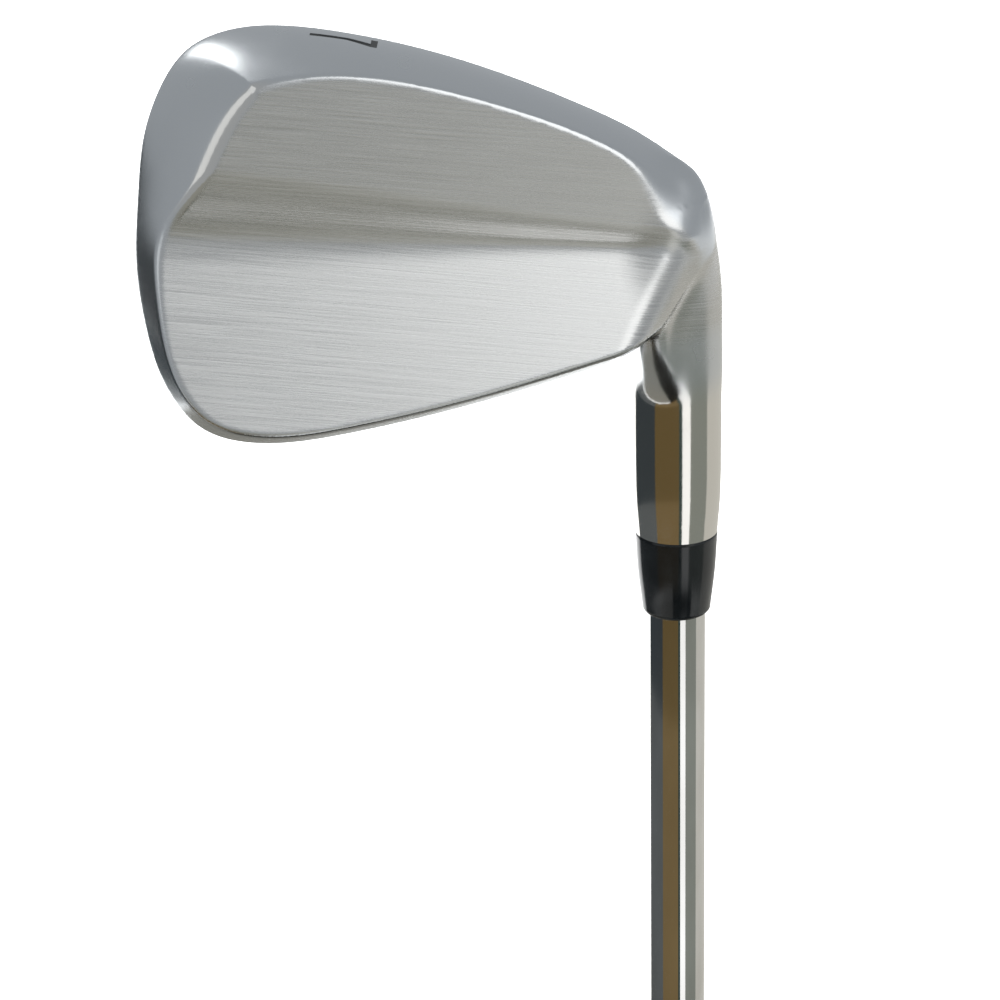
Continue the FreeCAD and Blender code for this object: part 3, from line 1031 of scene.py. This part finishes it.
    def dress(self, made: bpy.types.Object) -> None:
        """Store how brushed and how buffed each point of the skin is.

        Args:
            made: The finished head.
        """
        points = np.array([v.co for v in made.data.vertices]) / MM
        p = self.frame.from_club(points)
        wall, back, radius = self.blade_parts(p)
        socket, web, k = self.hosel_parts(p)
        plate = round_meet(wall, back, radius)
        on_plate = ramp(np.minimum(socket, web) - plate, *self.plate_fade)
        flat_back = ramp(back - wall, *self.back_fade) * (p[:, 2] > 2)
        flat_face = ramp(-p[:, 2] - wall, *self.face_fade)
        toe_rim = ramp(radius, *self.buffed_radius) * ramp(p[:, 0], *self.buffed_toe)
        edge = toe_rim * ramp(wall + radius, *self.rim_fade) * ramp(back + radius, *self.rim_fade)
        hosel = ramp(k, *self.buffed_hosel) * (1 - on_plate)
        buff = np.clip(hosel + self.rim_buff * edge * on_plate, 0, 1)
        grain = np.clip(np.maximum(flat_back, flat_face) * on_plate, 0, 1) * (1 - buff)
        for name, values in (("grain", grain), ("buff", buff)):
            stored = made.data.attributes.new(name, "FLOAT", "POINT")
            stored.data.foreach_set("value", values.astype(np.float32))

    def build(self, metal: bpy.types.Material, enamel: bpy.types.Material) -> list[bpy.types.Object]:
        """Make the head and its filled number.

        Args:
            metal: Finish of the head.
            enamel: Finish of the filled number.

        Returns:
            The two pieces.
        """
        corners, quads = self.skin()
        head = outward(make_piece("iron_head", self.frame.to_club(corners) * MM, quads, metal))
        for kind in (Cut.BORE, Cut.SCORELINES, Cut.NUMBER):
            tool = self.cutter(kind, metal)
            cut = head.modifiers.new(kind.value, "BOOLEAN")
            cut.operation, cut.solver, cut.object = "DIFFERENCE", "MANIFOLD", tool
            plain_copy(head)
            bpy.data.objects.remove(tool)
        head.data.shade_smooth()
        sharpen(head, self.sharp_deg)
        self.dress(head)
        points, faces = self.numeral(self.number_gap, self.number_depth - 0.01, -0.06)
        paint = outward(make_piece("sole_number_paint", self.frame.to_club(points) * MM, faces, enamel))
        sharpen(paint, 40)
        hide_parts("clubhead")
        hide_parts("sole_number_infill")
        return [head, paint]


@dataclass
class Shaft:
    """Stepped, plated steel tube: slim at the hosel, one step fatter every inch and a quarter."""

    joint: float
    base: float
    tip: float = 4.70
    gain: float = 0.2245
    steps: int = 13
    pitch: float = 31.75
    first: float = 655.0
    shoulder: float = 1.0
    insert: float = 32.0
    walls: tuple = (0.65, 0.40)
    sides: int = 96

    def profile(self) -> list[tuple[float, float]]:
        """Outside from the tip down to the butt, then the inside back up.

        Returns:
            (radius, height) points that close on themselves.
        """
        outside, inside = [(self.tip, self.joint + self.insert)], []
        inside.append((self.tip - self.walls[0], self.joint + self.insert))
        for step in range(self.steps):
            high = self.first - step * self.pitch
            radius = self.tip + step * self.gain
            wall, next_wall = (self.walls[0] + (self.walls[1] - self.walls[0]) * n / self.steps
                               for n in (step, step + 1))
            for part in (0.0, 0.15, 0.5, 0.85, 1.0):
                eased = part * part * (3 - 2 * part)
                outside.append((radius + self.gain * eased, high - self.shoulder * part))
            inside += [(radius - wall, high), (radius + self.gain - next_wall, high - self.shoulder)]
        butt = self.tip + self.steps * self.gain
        outside.append((butt, self.base))
        inside.append((butt - self.walls[1], self.base))
        return inside + outside[::-1]

    def build(self, finish: bpy.types.Material) -> bpy.types.Object:
        """Make the tube.

        Args:
            finish: Finish of the tube.

        Returns:
            The tube.
        """
        points, faces = lathe(self.profile(), self.sides)
        made = outward(make_piece("stepped_shaft", points, faces, finish))
        sharpen(made, 50)
        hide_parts("shaft")
        return made


@dataclass
class Ferrule:
    """Turned collar that carries the hosel's outline down to the shaft and ends in a small round."""

    joint: float
    length: float = 14.0
    top: float = 6.65
    middle: float = 6.25
    low: float = 5.55
    rounding: float = 0.8
    bore: float = 4.72
    bevel: float = 0.12
    sides: int = 128

    def build(self, finish: bpy.types.Material) -> bpy.types.Object:
        """Make the collar.

        Args:
            finish: Finish of the collar.

        Returns:
            The collar.
        """
        end = self.joint - self.length
        side = fine_profile([(self.low, end + self.rounding), (self.middle, end + self.length / 2),
                             (self.top, self.joint - self.bevel)], 0.5)
        turn = [(self.low - self.rounding * (1 - math.sin(a)), end + self.rounding * (1 - math.cos(a)))
                for a in np.linspace(0, math.pi / 2, 8)[:-1]]
        outside = turn + side + [(self.top - self.bevel, self.joint)]
        inside = [(self.bore, self.joint), (self.bore, end)]
        points, faces = lathe(outside + inside, self.sides)
        made = outward(make_piece("turned_ferrule", points, faces, finish))
        sharpen(made, 50)
        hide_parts("ferrule")
        return made


@dataclass
class Grip:
    """Slip-on rubber sleeve with rows of small raised studs, and its moulded end cap with a vent hole."""

    thickness: float = 4.5
    cap_radius: float = 13.4
    cap_round: float = 1.6
    vent: float = 1.9
    bore: float = 7.8
    outside: tuple = ((13.4, 4.5), (12.75, 20.0), (11.45, 50.0), (10.55, 100.0), (9.95, 150.0), (8.7, 255.0))
    length: float = 267.0
    mouth: tuple[float, float] = (9.0, 4.0)
    grooves: tuple = (20.0, 118.0, 126.0, 242.0)
    groove_depth: float = 0.22
    groove_half: float = 0.9
    stud_rows: tuple = ((26.0, 112.0), (132.0, 236.0))
    stud_pitch: float = 3.4
    studs_round: int = 22
    stud_size: tuple = (1.7, 0.7, 0.28)
    stud_turn_deg: float = 32.0
    sides: int = 96

    def sleeve_profile(self) -> list[tuple[float, float]]:
        """Outside from the cap up to the mouth, with four thin grooves, then the bore back down.

        Returns:
            (radius, height) points that close on themselves.
        """
        outer = fine_profile(self.outside, 1.6)
        grooved = []
        for radius, height in outer:
            dip = sum(math.exp(-((height - at) / self.groove_half) ** 2) for at in self.grooves)
            grooved.append((radius - self.groove_depth * dip, height))
        mouth_r, mouth_length = self.mouth
        end = [(mouth_r, self.length - mouth_length), (mouth_r, self.length - 0.8),
               (mouth_r - 0.3, self.length - 0.2), (mouth_r - 0.7, self.length)]
        return grooved + end + [(self.bore, self.length), (self.bore, self.thickness)]

    def radius_at(self, height: float) -> float:
        """Outside radius of the sleeve at a height."""
        radii = [r for r, _ in self.outside]
        return float(np.interp(height, [z for _, z in self.outside], radii))

    def studs(self, rubber: bpy.types.Material) -> bpy.types.Object:
        """Raised studs on the sleeve, one instance each, slanted one way and the other in turn.

        Args:
            rubber: Finish of the studs.

        Returns:
            The studs as one object.
        """
        places, normals, turns = [], [], []
        for low, high in self.stud_rows:
            for row in range(int((high - low) / self.stud_pitch) + 1):
                height = low + row * self.stud_pitch
                for number in range(self.studs_round):
                    angle = 2 * math.pi * (number + 0.5 * (row % 2)) / self.studs_round
                    out = (math.cos(angle), math.sin(angle), 0.0)
                    radius = self.radius_at(height) - 0.02
                    places.append((radius * out[0], radius * out[1], height))
                    normals.append(out)
                    turns.append(math.radians(self.stud_turn_deg) * (1 if row % 2 else -1))
        made = loose_points("grip_studs", np.array(places) * MM, {"out": normals, "slant": turns}, rubber)
        tree, start, keys = start_tree("grip_studs", {"Stud Size": "NodeSocketVector"})
        dome = add_node(tree, "GeometryNodeMeshUVSphere", {"Segments": 8, "Rings": 4, "Radius": 0.5})
        sized = add_node(tree, "GeometryNodeTransform", {"Geometry": dome.outputs["Mesh"],
                                                         "Scale": start.outputs["Stud Size"]})
        out = add_node(tree, "GeometryNodeInputNamedAttribute", {"Name": "out"}, data_type="FLOAT_VECTOR")
        slant = add_node(tree, "GeometryNodeInputNamedAttribute", {"Name": "slant"}, data_type="FLOAT")
        facing = add_node(tree, "FunctionNodeAlignRotationToVector", {"Vector": out.outputs["Attribute"]},
                          axis="Z")
        twist = add_node(tree, "ShaderNodeCombineXYZ", {2: slant.outputs["Attribute"]})
        turned = add_node(tree, "FunctionNodeRotateRotation", {"Rotation": facing.outputs[0]},
                          rotation_space="LOCAL")
        tree.links.new(twist.outputs[0], turned.inputs["Rotate By"])
        place_shapes(made, tree, {"Points": start.outputs["Geometry"], "Instance": sized.outputs[0],
                                  "Rotation": turned.outputs[0]},
                     {keys["Stud Size"]: [value * MM for value in self.stud_size]})
        made.data.shade_smooth()
        return made

    def build(self, rubber: bpy.types.Material) -> list[bpy.types.Object]:
        """Make the sleeve, its studs and the cap.

        Args:
            rubber: Finish of the grip.

        Returns:
            Sleeve, studs and cap.
        """
        points, faces = lathe(self.sleeve_profile(), self.sides)
        sleeve = outward(make_piece("grip_sleeve_rubber", points, faces, rubber))
        sharpen(sleeve, 50)
        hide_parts("grip_sleeve")
        corner = [(self.cap_radius - self.cap_round * (1 - math.sin(a)), self.cap_round * (1 - math.cos(a)))
                  for a in np.linspace(0, math.pi / 2, 10)]
        ring = [(self.cap_radius - 4.2, 0.0), (self.cap_radius - 4.5, 0.35), (self.cap_radius - 5.1, 0.35),
                (self.cap_radius - 5.4, 0.0)]
        hole = [(self.vent, self.thickness), (self.vent, 0.3), (self.vent + 0.3, 0.0)]
        profile = (hole + ring[::-1] + corner
                   + [(self.cap_radius, self.thickness - 0.25), (self.cap_radius - 0.25, self.thickness)])
        points, faces = lathe(profile, self.sides)
        cap = outward(make_piece("grip_cap_rubber", points, faces, rubber))
        sharpen(cap, 50)
        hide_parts("grip_cap")
        return [sleeve, self.studs(rubber), cap]


# ------------------------------------------------------------------ stage

@dataclass(frozen=True)
class Card:
    """Studio card on a ring round the club that only polished metal sees."""

    start_deg: float
    end_deg: float
    low: float
    high: float
    colour: str
    strength: float = 1.0


@dataclass(frozen=True)
class Lamp:
    """Area light; its azimuth is from the camera's side towards the right, its sizes in metres."""

    name: str
    azimuth_deg: float
    elevation_deg: float
    reach: float
    size: tuple[float, float]
    power: float
    glossy: bool = True


@dataclass
class Studio:
    """Pale floor, soft lights, reflection cards and the camera."""

    joint: float
    aim_height: float = 878.0
    distance: float = 0.700
    elevation_deg: float = 23.5
    lens: float = 157.26
    side_deg: float = 2.313
    up_deg: float = -0.485
    floor_half: float = 9.0
    ring: float = 1.2
    cards: tuple = (
        Card(-126, -56, 0.30, 0.62, "#41474b"),
        Card(-126, -56, 0.02, 0.30, "#676b6d"),
        Card(-56, 7, 0.30, 0.62, "#72603f"),
        Card(-56, 7, 0.02, 0.30, "#85714f"),
        Card(7, 15, 0.02, 0.62, "#3d4f4c"),
        Card(15, 36, 0.02, 0.46, "#ffffff", 1.5),
        Card(15, 36, 0.46, 0.62, "#a3a39b"),
        Card(36, 84, 0.02, 0.62, "#989c95"),
        Card(84, 160, 0.02, 0.62, "#dedcd5"),
        Card(-114, -66, 0.62, 1.18, "#3e4143"),
        Card(-30, 26, 0.62, 1.08, "#a3a39b"),
        Card(26, 48, 0.62, 1.08, "#f2f2ee", 1.1),
    )
    ground_card: float = 1.15
    front_card: tuple[float, float, float, float] = (-0.25, 0.9, -1.5, -0.28)
    flat_height: float = 0.002
    lamps: tuple = (
        Lamp("key_right", 52, 34, 1.3, (0.9, 0.9), 3.9),
        Lamp("fill_left", -40, 38, 2.2, (1.0, 1.0), 1.6),
        Lamp("toe_corner_light", -145, 42, 1.8, (0.45, 0.7), 3.6),
        Lamp("floor_light", 180, 45, 3.4, (4.0, 4.0), 420, glossy=False),
    )
    light_aim: float = 40.0
    sky: str = "#c8ccd0"
    sky_strength: float = 0.82

    def glowing(self, name: str, points: Sequence, faces: Sequence, colour: str,
                strength: float = 1.0) -> bpy.types.Object:
        """Glowing card that only mirrors show: no camera, matt surface or shadow sees it.

        Args:
            name: Name of the card.
            points: Its corners, in metres.
            faces: Corner numbers of each face.
            colour: Hex colour of its glow.
            strength: Strength of its glow.

        Returns:
            The card.
        """
        material = bpy.data.materials.new(name)
        material.use_nodes = True
        tree = material.node_tree
        tree.nodes.clear()
        glow = add_node(tree, "ShaderNodeEmission", {"Color": linear(colour), "Strength": strength})
        add_node(tree, "ShaderNodeOutputMaterial", {"Surface": glow.outputs[0]})
        made = make_piece(name, np.array(points), faces, material)
        made.visible_camera = made.visible_diffuse = made.visible_shadow = False
        return made

    def floor(self) -> bpy.types.Object:
        """Pale matt floor.

        Returns:
            The floor.
        """
        material, tree, shader = new_material("painted_studio_floor")
        cloud = stretched_noise(tree, (300.0, 300.0, 300.0), 2.0)
        tone = add_node(tree, "ShaderNodeMix", {0: cloud, 6: linear("#f6f6f5"), 7: linear("#f9f9f9")},
                        data_type="RGBA")
        tree.links.new(tone.outputs[2], shader.inputs["Base Color"])
        shader.inputs["Roughness"].default_value = 0.9
        shader.inputs["Specular IOR Level"].default_value = 0.0
        corners = self.floor_half * np.array([(-1, -1, 0), (1, -1, 0), (1, 1, 0), (-1, 1, 0)])
        made = make_piece("studio_floor", corners, [(0, 1, 2, 3)], material)
        return made

    def card(self, number: int, card: Card) -> bpy.types.Object:
        """One upright card, bent to the ring round the club.

        Args:
            number: Number in its name.
            card: Its place, size and colour.

        Returns:
            The card.
        """
        steps = 10
        points = [(self.ring * math.sin(angle), -self.ring * math.cos(angle), height)
                  for height in (card.low, card.high)
                  for angle in np.radians(np.linspace(card.start_deg, card.end_deg, steps))]
        faces = [(i, i + 1, steps + i + 1, steps + i) for i in range(steps - 1)]
        return self.glowing(f"card_{number}", points, faces, card.colour, card.strength)

    def flat_cards(self) -> None:
        """Pale disc just above the floor, and a dark card on it that the step above the muscle mirrors."""
        sides = 48
        disc = [(self.ground_card * math.cos(a), self.ground_card * math.sin(a), self.flat_height)
                for a in 2 * math.pi * np.arange(sides) / sides]
        self.glowing("card_ground", disc, [tuple(range(sides))], "#9a9890")
        left, right, near, far = self.front_card
        z = 2 * self.flat_height
        corners = [(left, near, z), (right, near, z), (right, far, z), (left, far, z)]
        self.glowing("card_front", corners, [(0, 1, 2, 3)], "#242422")

    def soft_light(self, lamp: Lamp) -> bpy.types.Object:
        """Soft area light aimed at the head.

        Args:
            lamp: Its place, size and power.

        Returns:
            The light.
        """
        light = bpy.data.lights.new(lamp.name, "AREA")
        light.shape, light.energy = "RECTANGLE", lamp.power
        light.size, light.size_y = lamp.size
        made = bpy.data.objects.new(lamp.name, light)
        a, e = math.radians(lamp.azimuth_deg), math.radians(lamp.elevation_deg)
        aim = Vector((0, 0, (self.joint + self.light_aim) * MM))
        away = Vector((math.sin(a) * math.cos(e), -math.cos(a) * math.cos(e), math.sin(e)))
        made.location = aim + lamp.reach * away
        made.rotation_euler = (aim - made.location).to_track_quat("-Z", "Y").to_euler()
        made.visible_camera = False
        made.visible_glossy = lamp.glossy
        bpy.context.scene.collection.objects.link(made)
        return made

    def camera(self) -> bpy.types.Object:
        """Camera that looks down on the back of the head with the shaft upright in the frame.

        Returns:
            The camera.
        """
        e = math.radians(self.elevation_deg)
        back = Vector((0, -math.cos(e), math.sin(e)))
        right, up = math.tan(math.radians(self.side_deg)), math.tan(math.radians(self.up_deg))
        ray = Vector((right, up, -1)).normalized()
        plane = Vector((1, 0, right)).normalized()
        world_plane = (-back).cross(Vector((0, 0, 1))).normalized()
        seen = Matrix((ray, plane, ray.cross(plane))).transposed()
        world = Matrix((-back, world_plane, (-back).cross(world_plane))).transposed()
        turn = world @ seen.transposed()
        lens = bpy.data.cameras.new("camera")
        lens.lens, lens.sensor_width = self.lens, 36.0
        lens.clip_start, lens.clip_end = 0.05, 60.0
        made = bpy.data.objects.new("camera", lens)
        place = Vector((0, 0, self.aim_height * MM)) + back * self.distance
        made.matrix_world = Matrix.Translation(place) @ turn.to_4x4()
        bpy.context.scene.collection.objects.link(made)
        bpy.context.scene.camera = made
        return made

    def build(self) -> None:
        """Set up floor, cards, lights, sky and camera."""
        self.floor()
        for number, card in enumerate(self.cards, 1):
            self.card(number, card)
        self.flat_cards()
        for lamp in self.lamps:
            self.soft_light(lamp)
        world = bpy.data.worlds.new("studio_air")
        world.use_nodes = True
        air = world.node_tree.nodes["Background"].inputs
        air["Color"].default_value = linear(self.sky)
        air["Strength"].default_value = self.sky_strength
        bpy.context.scene.world = world
        bpy.context.scene.view_settings.view_transform = "Standard"
        self.camera()


def redress(node: str, finish: bpy.types.Material) -> None:
    """Give the CAD node of a piece sealed inside the club its finish.

    Args:
        node: Name of the CAD node.
        finish: Its material.
    """
    owner = frame["nodes"][node]
    if not owner.material_slots:
        owner.data.materials.append(finish)
    for place in owner.material_slots:
        place.material = finish


def main() -> None:
    """Build the club, dress it, set the stage and report each piece."""
    logging.basicConfig(level=logging.INFO, format="%(name)s: %(message)s")
    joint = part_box("ferrule")[1][2] / MM
    metal = SatinChrome().build()
    chrome = Plated().build()
    rubber = MouldedRubber().build()
    gloss_black = TurnedPlastic("turned_cellulose", ("#0d1012", "#14181a"), (0.10, 0.18)).build()
    enamel = TurnedPlastic("filled_enamel", ("#060707", "#0d0e0e"), (0.37, 0.45)).build()
    grip = Grip()
    finished = list(zip(ClubHead(GROUND, joint).build(metal, enamel), ("head_satin", "number_enamel")))
    finished.append((Shaft(joint, grip.thickness).build(chrome), "shaft_chrome"))
    finished.append((Ferrule(joint).build(gloss_black), "ferrule_plastic"))
    finished += [(piece, "grip_rubber") for piece in grip.build(rubber)]
    redress("hosel_epoxy", PlainInner("cured_epoxy", ("#a98f5b", "#8f7746"), (0.27, 0.43)).build())
    redress("shaft_tip_weight", PlainInner("turned_brass", ("#c9a55a", "#b38f46"), (0.22, 0.38), 1.0).build())
    redress("grip_tape", PlainInner("paper_grip_tape", ("#d8cfb8", "#c6bb9f"), (0.72, 0.88),
                                       cell_mm=0.6).build())
    for piece, place in finished:
        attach(piece, BODY)
        finish = piece.data.materials[0].name
        LOG.info("%s: %d faces, finish %s", piece.name, len(piece.data.polygons), finish)
    Studio(joint).build()


if __name__ == "__main__":
    main()
